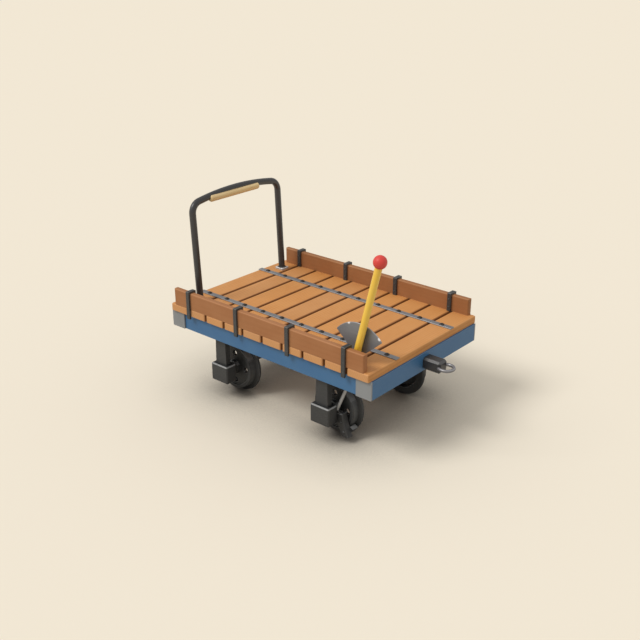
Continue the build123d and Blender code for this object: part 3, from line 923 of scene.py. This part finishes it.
@dataclass(frozen=True, kw_only=True)
class PlankWood(Wood):
    """The wood of the deck, whose planks each have their own grain, with dirt and painted shade along the gaps
    and painted shade along each plank's front edge.
    """

    deck: Deck
    dirt_and_shade: str = "#7E4A20"  # Colour of the dirt and painted shade in the gaps and of the painted shade along each plank's front edge
    end_grain: str = "#DDAE84"  # Colour of the sawn ends
    lead: float = 0.0045  # How far before the first plank its share of the deck begins
    gap: tuple[float, float] = (0.0065, 0.0145)  # Distances from a gap's middle between which the dirt and painted shade fade
    shoulder: tuple[float, float] = (0.003, 0.023)  # The same for the painted shade, from a plank's front edge
    edge_shade: float = 0.5  # How strong the painted shade along that edge is

    def counted(self, w: Surface) -> Socket:
        """How many planks lie behind a place, with its share of its own."""
        start = self.deck.middle - self.deck.length / 2 - self.lead
        return w.math("DIVIDE", w.minus(w.x, start), self.deck.pitch)

    def seed(self, w: Surface) -> Socket:
        """A number that gives each plank a grain of its own."""
        return w.math("FLOOR", self.counted(w))

    def soiled_and_shaded(self, w: Surface, colour: Socket) -> Socket:
        """Lighten the sawn ends, put dirt and painted shade along the gaps between planks, and painted shade
        along each plank's front edge.

        Args:
            w: The material's surface.
            colour: Colour of the clean wood.

        Returns:
            The colour with the dirt and painted shade on it.
        """
        share, pitch = w.math("FRACT", self.counted(w)), self.deck.pitch
        edge = w.times(w.minus(0.5, w.off(share, 0.5)), pitch)
        # Painted shade along each plank's front edge, which faces away from the sun.
        edge_shade = w.ramp(w.times(w.minus(1.0, share), pitch), *self.shoulder, self.edge_shade, 0.0)
        # Dirt and painted shade on both sides of every gap between planks.
        dirt_and_shade = w.minus(1.0, w.ramp(edge, *self.gap))
        inside = w.math("LESS_THAN", w.off(w.x, self.deck.middle), self.deck.length / 2 - pitch / 4)
        end = w.math("ABSOLUTE", w.facing("True Normal")[1])
        return w.coated(colour, (w.ramp(end, 0.5, 0.9), 0.30, self.end_grain), (edge_shade, inside, self.dirt_and_shade),
                        (w.times(dirt_and_shade, inside), w.ramp(end, 0.5, 0.9, 0.85, 0.45), self.dirt_and_shade))


@dataclass(frozen=True)
class Paint(Finish):
    """Brushed-on paint, chipped at its edges to what lies beneath, with a painted highlight on its edges that
    face up.
    """

    under: str  # Colour beneath the paint
    faded: str  # Colour of the paint where it has faded
    chips: float  # How much of the edges has chipped
    gloss: float = 0.0  # Weight of the clear coat
    rim: float = 0.0  # Strength of the painted highlight on the edges that face up
    rubbed: str = "#B9BABA"  # Colour of that painted highlight

    def riveted(self, w: Surface, colour: Socket) -> tuple[Socket, Any]:
        """The colour with flush rivets in it, and the mask of their seams: none on plain paint."""
        return colour, 0.0

    def looks(self, w: Surface) -> dict[str, Any]:
        """Say what feeds the shader.

        Args:
            w: The material's surface.

        Returns:
            Value or socket for each input.
        """
        wear = EdgeWear.place(w, Width=0.0035, Amount=self.chips)
        sky = Weather.place(w, Speckle=150.0)
        strokes = Brushing.place(w)["Scratches"]
        brushed = w.ramp(strokes, 0.62, 0.8)
        # The last coat is a painted highlight on the edges that face up.
        colour = w.coated(self.colour, (sky["Cloud"], 0.45, self.faded), (brushed, 0.14, self.faded),
                          (wear["Mask"], 1.0, self.under), (wear["Top"], self.rim, self.rubbed))
        colour, seams = self.riveted(w, colour)
        rough = w.plus(w.scaled(sky["Speck"], 0.16, self.roughness - 0.08), w.times(sky["Dust"], 0.12))
        height = w.minus(w.scaled(strokes, 0.3, w.times(wear["Mask"], -0.8)), seams)
        return {"Base Color": colour, "Coat Weight": self.gloss, "Coat Roughness": 0.12,
                "Roughness": w.clamp01(w.plus(rough, w.times(wear["Mask"], 0.15))),
                "Normal": w.bump(height, 0.25, 0.0006)}


@dataclass(frozen=True, kw_only=True)
class RivetedPaint(Paint):
    """The paint of the stanchions, with the flush rivets in their outer faces."""

    boards: SideBoards
    seam: str = "#141414"  # Colour of the fine seam round a rivet

    def riveted(self, w: Surface, colour: Socket) -> tuple[Socket, Any]:
        """Draw the rivets.

        Args:
            w: The material's surface.
            colour: Colour of the plain paint.

        Returns:
            The colour with the rivets in it, and the mask of their seams.
        """
        flat = w.together(w.off(w.x, self.boards.deck.middle), 0.0, w.z)
        seams: Any = 0.0
        for along, height in self.boards.flush_rivets():
            rivet = FlushRivet.place(w, Place=flat, Middle=(along, 0.0, height))
            colour = w.coated(colour, (rivet["Head"], 0.3, self.under))
            seams = w.larger(seams, rivet["Seam"])
        return w.coated(colour, (seams, 0.6, self.seam)), seams


@dataclass(frozen=True)
class Cast(Finish):
    """Rough cast iron, rubbed brighter at its edges, with painted shade where other pieces close it in and a
    painted highlight on its edges that face up.
    """

    rubbed: str  # Colour of the rubbed edges
    rust: str  # Colour of the rust in its skin
    rim: float = 0.3  # Strength of the painted highlight on the edges that face up
    painted_highlight: str = "#C6C7C7"  # Colour of that painted highlight
    painted_recess_shade: str = "#0A0A0A"  # Colour of the painted shade where other pieces close the iron in
    painted_shade_reach: float = 0.30  # How near other pieces have to be for the painted shade to fall

    def polished(self, w: Surface, edges: Socket) -> tuple[Socket, Socket]:
        """The mask of what is rubbed bright, and how metallic it is: its worn edges alone."""
        return edges, w.times(edges, 0.7)

    def looks(self, w: Surface) -> dict[str, Any]:
        """Say what feeds the shader.

        Args:
            w: The material's surface.

        Returns:
            Value or socket for each input.
        """
        wear = EdgeWear.place(w, Width=0.0045, Amount=0.6)
        skin = Weather.place(w, Speckle=420.0)
        specks = w.ramp(skin["Speck"], 0.5, 0.75)
        # Painted shade from ambient occlusion: darker where other pieces are near.
        recess_shade = w.ramp(w.openness(self.painted_shade_reach), 0.20, 0.80, 0.75, 0.0)
        bright, metal = self.polished(w, wear["Mask"])
        # The fourth coat is painted shade, and the last a painted highlight on the edges that face up.
        colour = w.coated(self.colour, (skin["Cloud"], 0.22, self.rust), (specks, 0.25, self.rubbed),
                          (recess_shade, 1.0, self.painted_recess_shade), (bright, 0.8, self.rubbed),
                          (wear["Top"], self.rim, self.painted_highlight))
        rough = w.minus(w.scaled(skin["Speck"], 0.2, self.roughness - 0.1), w.times(bright, 0.28))
        return {"Base Color": colour, "Metallic": metal, "Roughness": w.clamp01(rough),
                "Normal": w.bump(skin["Speck"], 0.35, 0.0009)}


@dataclass(frozen=True, kw_only=True)
class WheelIron(Cast):
    """The iron of the wheels, whose treads are polished by the rail."""

    gear: RunningGear
    polish: float = 0.30  # How bright the tread is

    def polished(self, w: Surface, edges: Socket) -> tuple[Socket, Socket]:
        """Add the tread, found from the distance to its axle.

        Args:
            w: The material's surface.
            edges: Mask of the worn edges.

        Returns:
            The mask of what is rubbed bright, and how metallic it is.
        """
        gear = self.gear
        run = w.minus(w.off(w.x, gear.underframe.deck.middle), gear.wheelbase / 2)
        rise = w.minus(w.z, gear.axle_z)
        radius = w.math("SQRT", w.plus(w.times(run, run), w.times(rise, rise)))
        near = w.minus(1.0, w.ramp(w.off(radius, gear.tread), 0.002, 0.005))
        side = w.math("ABSOLUTE", w.y)
        across = w.times(w.ramp(side, gear.flange_y, gear.flange_y + 0.004),
                         w.minus(1.0, w.ramp(side, gear.face_y - 0.012, gear.face_y - 0.003)))
        bright = w.clamp01(w.plus(edges, w.times(w.times(near, across), self.polish)))
        return bright, w.times(bright, 0.55)


@dataclass(frozen=True)
class Steel(Finish):
    """Bare worked steel with fine scratches, and painted highlights on its edges that face up and at given
    spots.
    """

    dull: str  # Colour of its duller patches
    along: Axis  # The way that the scratches run
    metallic: float = 0.55  # How metallic the plain surface is
    rim: float = 0.25  # Strength of the painted highlight on the edges that face up
    width: float = 0.0025  # How far the wear and the painted highlight reach from an edge
    spots: tuple[tuple[float, float], ...] = ()  # Places on the rim, in X and Z, that get a painted glint
    worn: str = "#C9CBCD"  # Colour of the worn edges
    painted_highlight: str = "#F8F8FA"  # Colour of the painted highlight and glints

    def looks(self, w: Surface) -> dict[str, Any]:
        """Say what feeds the shader.

        Args:
            w: The material's surface.

        Returns:
            Value or socket for each input.
        """
        scratches = Brushing.place(w, Vector=w.together(*w.apart(w.place, self.along)))["Scratches"]
        cloud = Weather.place(w, Speckle=200.0)["Cloud"]
        wear = EdgeWear.place(w, Width=self.width, Amount=0.6)
        # Painted highlight on the edges that face up, and painted glints at the spots.
        bright = w.times(wear["Top"], self.rim)
        for x, z in self.spots:
            away = w.vector("DISTANCE", w.together(w.x, 0.0, w.z), (x, 0.0, z)).outputs["Value"]
            bright = w.larger(bright, w.minus(1.0, w.ramp(away, 0.005, 0.012)))
        colour = w.coated(self.colour, (cloud, 0.6, self.dull), (w.ramp(scratches, 0.35, 0.7), 0.35, self.dull),
                          (wear["Mask"], 0.5, self.worn), (bright, 1.0, self.painted_highlight))
        rough = w.plus(w.scaled(scratches, 0.25, self.roughness - 0.12), w.times(cloud, 0.08))
        return {"Base Color": colour, "Metallic": self.metallic, "Roughness": w.clamp01(rough),
                "Normal": w.bump(scratches, 0.22, 0.0005)}


@dataclass(frozen=True)
class PaleFloor(Finish):
    """A floor that is seen pale, throws back less light, and has painted shade close under the car."""

    underfoot: str = "#B4AC9E"  # Colour that it throws back onto the car
    painted_contact_shade: str = "#76706A"  # Colour of the painted shade close under the car

    def looks(self, w: Surface) -> dict[str, Any]:
        """Say what feeds the shader.

        Args:
            w: The material's surface.

        Returns:
            Value or socket for each input.
        """
        path = w.add("ShaderNodeLightPath").outputs
        seen = w.larger(path["Is Camera Ray"], path["Is Glossy Ray"])
        # Painted contact shade from ambient occlusion, under and near the car.
        shade = w.mix(w.ramp(w.openness(0.5), 0.15, 1.0), self.painted_contact_shade, self.colour)
        return {"Base Color": w.mix(seen, self.underfoot, shade), "Roughness": self.roughness,
                "Specular IOR Level": 0.0}


def finishes(deck: Deck, boards: SideBoards, gear: RunningGear, brake: Brake) -> dict[str, Finish]:
    """Choose every finish of the car.

    Args:
        deck: Sizes that the planks' gaps are drawn from.
        boards: Sizes that the flush rivets are drawn from.
        gear: Sizes that the wheels' treads are drawn from.
        brake: Sizes that the quadrant's painted glints are drawn from.

    Returns:
        The finish of each of the record's material slots.
    """
    # The rim numbers of paint, cast iron and steel set painted highlights on the edges that face up.
    return {
        "deck_wood": PlankWood("deck wood", "#D4965A", 0.60, "#AC6C3A", "#E2AC72", Axis.Y, deck=deck),
        # The last number darkens the left side board as painted shade.
        "board_wood": Wood("side board wood", "#AC744A", 0.62, "#8E5A34", "#C89468", Axis.X, 300.0, 0.09, 0.83),
        "grip_wood": Wood("grip wood", "#ECCD96", 0.45, "#BC9860", "#F5DEAE", Axis.Y, 700.0),
        "blue_paint": Paint("blue paint", "#3B6B98", 0.48, "#2A3F56", "#48759C", 0.35, 0.0, 0.12),
        "cap_steel": Paint("light grey paint", "#888B8D", 0.50, "#5E6060", "#96999B", 0.35),
        "foot_steel": Steel("foot plate steel", "#C2BFBA", 0.40, "#AAA7A2", Axis.Y, 0.20, 0.9),
        "dark_iron": RivetedPaint("dark grey paint", "#38393A", 0.44, "#5E6062", "#424445", 0.45, 0.0, 0.28,
                                  boards=boards),
        "handle_black": Paint("black paint", "#2F2E2F", 0.42, "#565456", "#383738", 0.25, 0.35),
        "yellow_paint": Paint("yellow paint", "#FFCE46", 0.36, "#D8A83A", "#FFD65E", 0.25, 0.3),
        "knob_red": Paint("red ball", "#E0433B", 0.44, "#A83430", "#E44B43", 0.0),
        "drawbar_iron": Paint("black drawbar paint", "#2A2A2C", 0.40, "#5A5A5C", "#343436", 0.5, 0.1, 0.12),
        "rivet_iron": Cast("rivet iron", "#1C1C1C", 0.46, "#3E3E40", "#221E1B", 0.0),
        "running_gear_iron": Cast("running gear iron", "#323334", 0.58, "#7C7E80", "#38342F", 0.5),
        "wheel_iron": WheelIron("wheel iron", "#333536", 0.56, "#8E9092", "#383532", gear=gear),
        "strap_steel": Steel("strap steel", "#8A8B8E", 0.40, "#76787C", Axis.X, 0.45, 0.10),
        "axle_steel": Steel("axle steel", "#5E5D5E", 0.40, "#454344", Axis.Y),
        # Its rim numbers and spots give the quadrant painted highlights and glints.
        "quadrant_steel": Steel("quadrant steel", "#84878B", 0.34, "#70747C", Axis.X, 0.30, 0.20, 0.004,
                                brake.painted_glint_spots()),
        "arm_steel": Steel("arm steel", "#B6B6B6", 0.40, "#9E9E9E", Axis.Z, 0.4),
        "ring_steel": Steel("ring steel", "#8E8D91", 0.32, "#787679", Axis.X, 0.45),
    }


# ------ Studio ------
@dataclass(frozen=True)
class Studio:
    """Floor, light and camera."""

    backdrop: str = "#F4EBDA"  # Colour of the floor and background, as they are seen
    reach: float = 60.0  # Distance of the floor's edges from the car
    light: Point = (1.0, 0.985, 0.96)  # Linear colour of the sun and of the sky
    sun: float = 1.55  # Strength of the sun
    sun_angle: float = 24.0  # Degrees that the sun is wide, which softens its shadows
    towards: Point = (0.40, 0.66, -0.84)  # The way that the sunlight goes
    sky: float = 0.62  # Strength of the sky
    seen_sky: float = 0.97  # Brightness of the sky where it is seen
    lens: float = 51.2  # Millimetres
    sensor: float = 36.0  # Its width, in millimetres
    far: float = 200.0  # How far the camera sees
    stand: Point = (3.0792, -3.7135, 2.5651)  # Where the camera is
    yaw: float = 130.53  # Heading of the camera in degrees from +X
    pitch: float = -23.34  # Degrees that the camera looks up

    def build(self) -> None:
        """Make the floor, the lights and the camera."""
        self.floor()
        self.lights()
        self.camera()

    def floor(self) -> None:
        """Lay a pale floor far past the view."""
        mesh = bpy.data.meshes.new("floor")
        square = [(x * self.reach, y * self.reach, 0) for x, y in ((-1, -1), (1, -1), (1, 1), (-1, 1))]
        mesh.from_pydata(square, [], [(0, 1, 2, 3)])
        mesh.materials.append(PaleFloor("studio floor", self.backdrop, 0.9).build())
        link("floor", mesh)
        LOG.info("floor: laid")

    def lights(self) -> None:
        """Light the car with a soft high sun and an even sky."""
        sun = bpy.data.lights.new("key", "SUN")
        sun.energy, sun.angle, sun.color = self.sun, math.radians(self.sun_angle), self.light
        aim = Vector(self.towards).normalized().to_track_quat("-Z", "Y")
        link("key", sun).rotation_euler = aim.to_euler()
        world = bpy.data.worlds.new("studio")
        world.use_nodes = True
        bpy.context.scene.world = world
        w = Wiring(world.node_tree)
        seen = w.add("ShaderNodeLightPath").outputs["Is Camera Ray"]
        w.feed(w.tree.nodes["Background"], {0: w.mix(seen, (*self.light, 1.0), self.backdrop),
                                            1: w.ramp(seen, 0.0, 1.0, self.sky, self.seen_sky)})
        LOG.info("sun and sky: lit")

    def camera(self) -> None:
        """Stand the camera where it sees the car from its front right."""
        data = bpy.data.cameras.new("view")
        data.lens, data.sensor_width, data.sensor_fit = self.lens, self.sensor, "HORIZONTAL"
        data.clip_end = self.far
        yaw, pitch = math.radians(self.yaw), math.radians(self.pitch)
        look = Vector((math.cos(pitch) * math.cos(yaw), math.cos(pitch) * math.sin(yaw), math.sin(pitch)))
        view = link("view", data)
        view.location = self.stand
        view.rotation_euler = look.to_track_quat("-Z", "Y").to_euler()
        bpy.context.scene.camera = view
        LOG.info("camera: set")


def main() -> None:
    """Build everything that the car wears, in order."""
    logging.basicConfig(level=logging.INFO, format="%(message)s")
    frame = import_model()
    deck = Deck()
    underframe = Underframe(deck)
    gear = RunningGear(underframe)
    boards, handle, brake = SideBoards(deck), PushHandle(deck), Brake(gear)
    palette = {slot: finish.build() for slot, finish in finishes(deck, boards, gear, brake).items()}
    placing = Placing()
    parts = (deck, boards, handle, gear, underframe, brake)
    for part in parts:
        part.dress(frame, palette)
        part.fasten(placing, palette)
    for part in parts:
        part.weld(palette)
    Studio().build()
    bpy.context.scene.view_settings.view_transform = "Standard"


if __name__ == "__main__":
    main()
